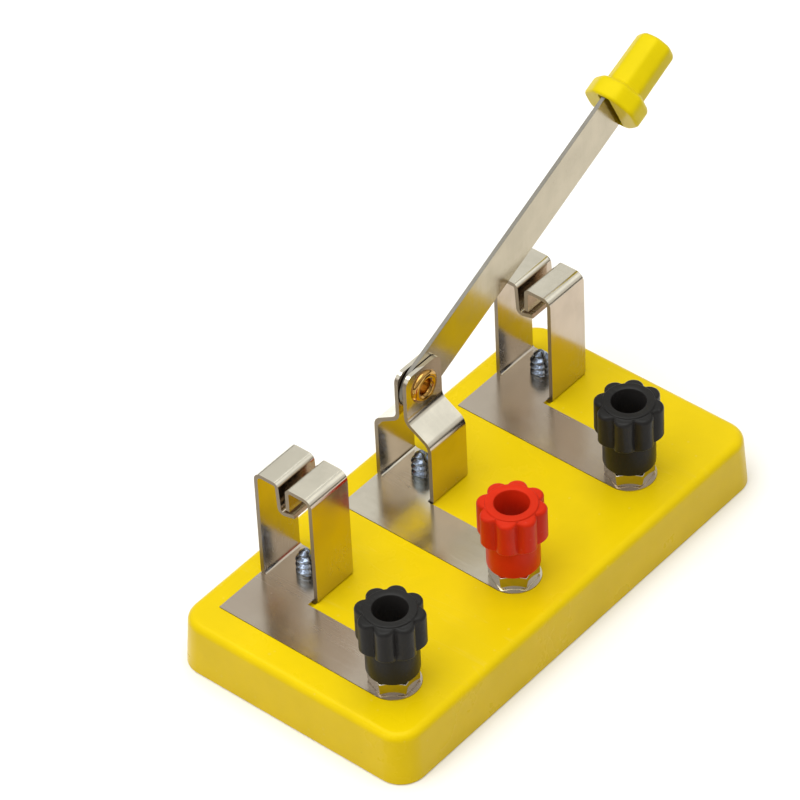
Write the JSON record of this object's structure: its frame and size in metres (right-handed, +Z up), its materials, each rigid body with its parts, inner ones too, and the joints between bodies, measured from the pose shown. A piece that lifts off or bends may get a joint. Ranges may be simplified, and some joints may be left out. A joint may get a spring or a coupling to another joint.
{
  "type": "knife blade switch",
  "caption": "Open bench knife switch with a hinged blade that swings between two sprung jaw clips, and lobed binding-post knobs on a moulded base.",
  "frame": {"origin": "middle of the flat underside of the base", "axes": "+X along the base from the left clip to the right clip, +Y from the binding posts to the clips, +Z up from the bench"},
  "size_m": [0.1249, 0.0524, 0.0686],
  "materials": {
    "base_plastic": "glossy moulded plastic, warm yellow",
    "handle_plastic": "glossy moulded plastic, yellow",
    "plated_sheet": "bright nickel plate over rolled sheet, fine grain",
    "plated_blade": "bright nickel plate over rolled strip, fine grain along the blade",
    "rivet_brass": "darkened brass",
    "screw_zinc": "blue zinc plate",
    "stud_plated": "nickel plate",
    "nut_plated": "bright nickel plate",
    "washer_plated": "bright nickel plate",
    "insert_brass": "turned brass",
    "black_plastic": "semi-gloss moulded plastic, black",
    "red_plastic": "semi-gloss moulded plastic, red"
  },
  "bodies": {
    "switch_base": {"base": "base_plastic", "left_clip": "plated_sheet", "right_clip": "plated_sheet", "pivot_bracket": "plated_sheet", "pivot_rivet": "rivet_brass", "left_screw": "screw_zinc", "middle_screw": "screw_zinc", "right_screw": "screw_zinc", "left_stud": "stud_plated", "middle_stud": "stud_plated", "right_stud": "stud_plated", "left_top_nut": "nut_plated", "middle_top_nut": "nut_plated", "right_top_nut": "nut_plated", "left_washer": "washer_plated", "middle_washer": "washer_plated", "right_washer": "washer_plated", "left_bottom_nut": "nut_plated", "middle_bottom_nut": "nut_plated", "right_bottom_nut": "nut_plated"},
    "lever": {"blade": "plated_blade", "handle": "handle_plastic"},
    "left_thread": {"left_insert": "insert_brass"},
    "left_cap": {"left_knob": "black_plastic"},
    "middle_thread": {"middle_insert": "insert_brass"},
    "middle_cap": {"middle_knob": "red_plastic"},
    "right_thread": {"right_insert": "insert_brass"},
    "right_cap": {"right_knob": "black_plastic"}
  },
  "joints": [
    {"name": "lever_swing", "type": "hinge", "parent": "switch_base", "child": "lever", "pos_m": [0.0044, 0.0145, 0.03305], "axis": [0, -1, 0], "range_deg": [-22.8, 152.8]},
    {"name": "left_knob_lift", "type": "slide", "parent": "switch_base", "child": "left_thread", "axis": [0, 0, 1], "range_m": [0, 0.0032]},
    {"name": "left_knob_turn", "type": "hinge", "parent": "left_thread", "child": "left_cap", "pos_m": [-0.0383, -0.0145, 0.01445], "axis": [0, 0, 1], "range_deg": [0, 1440]},
    {"name": "middle_knob_lift", "type": "slide", "parent": "switch_base", "child": "middle_thread", "axis": [0, 0, 1], "range_m": [0, 0.0032]},
    {"name": "middle_knob_turn", "type": "hinge", "parent": "middle_thread", "child": "middle_cap", "pos_m": [-0.0055, -0.0145, 0.01445], "axis": [0, 0, 1], "range_deg": [0, 1440]},
    {"name": "right_knob_lift", "type": "slide", "parent": "switch_base", "child": "right_thread", "axis": [0, 0, 1], "range_m": [0, 0.0032]},
    {"name": "right_knob_turn", "type": "hinge", "parent": "right_thread", "child": "right_cap", "pos_m": [0.0273, -0.0145, 0.01445], "axis": [0, 0, 1], "range_deg": [0, 1440]}
  ],
  "couplings": [
    {"joint": "left_knob_turn", "follows": "left_knob_lift", "rad_per_m": 7854},
    {"joint": "middle_knob_turn", "follows": "middle_knob_lift", "rad_per_m": 7854},
    {"joint": "right_knob_turn", "follows": "right_knob_lift", "rad_per_m": 7854}
  ]
}
